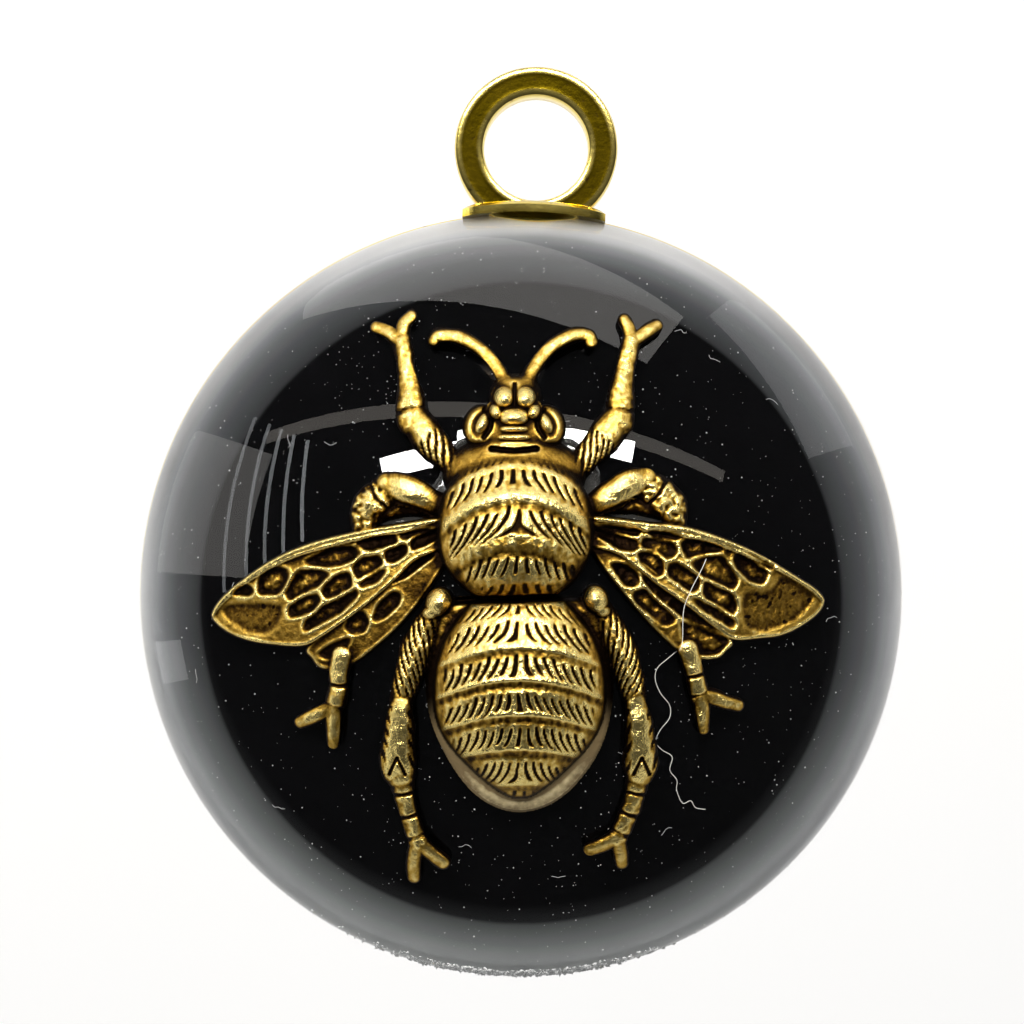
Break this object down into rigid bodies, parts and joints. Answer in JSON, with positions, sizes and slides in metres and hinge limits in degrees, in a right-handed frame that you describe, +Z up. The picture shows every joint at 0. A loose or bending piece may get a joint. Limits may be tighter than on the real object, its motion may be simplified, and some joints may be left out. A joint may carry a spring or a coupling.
{
  "type": "bee ornament ball",
  "caption": "Hanging bauble: an antique brass bee on the front of a glossy black ball with a clear skin, a gold frame and a hanging ring.",
  "frame": {"origin": "hang point: the middle of the top of the hole in the hanging ring", "axes": "+Z up, the bee faces -Y, the flat back faces +Y, +X to the right as seen from the front"},
  "size_m": [0.0764, 0.0286, 0.0908],
  "materials": {
    "gold_plate": "bright gold plate",
    "antique_brass": "antiqued, dark in the recesses and bright on the ridges",
    "black_core": "deep black, greying to white at the rim",
    "clear_resin": "clear, polished",
    "clear_glue": "clear, slightly milky"
  },
  "bodies": {
    "root": {"back_frame": "gold_plate", "hanging_loop": "gold_plate", "black_base": "black_core", "clear_dome": "clear_resin", "glue_pad": "clear_glue", "bee": "antique_brass"}
  },
  "joints": []
}
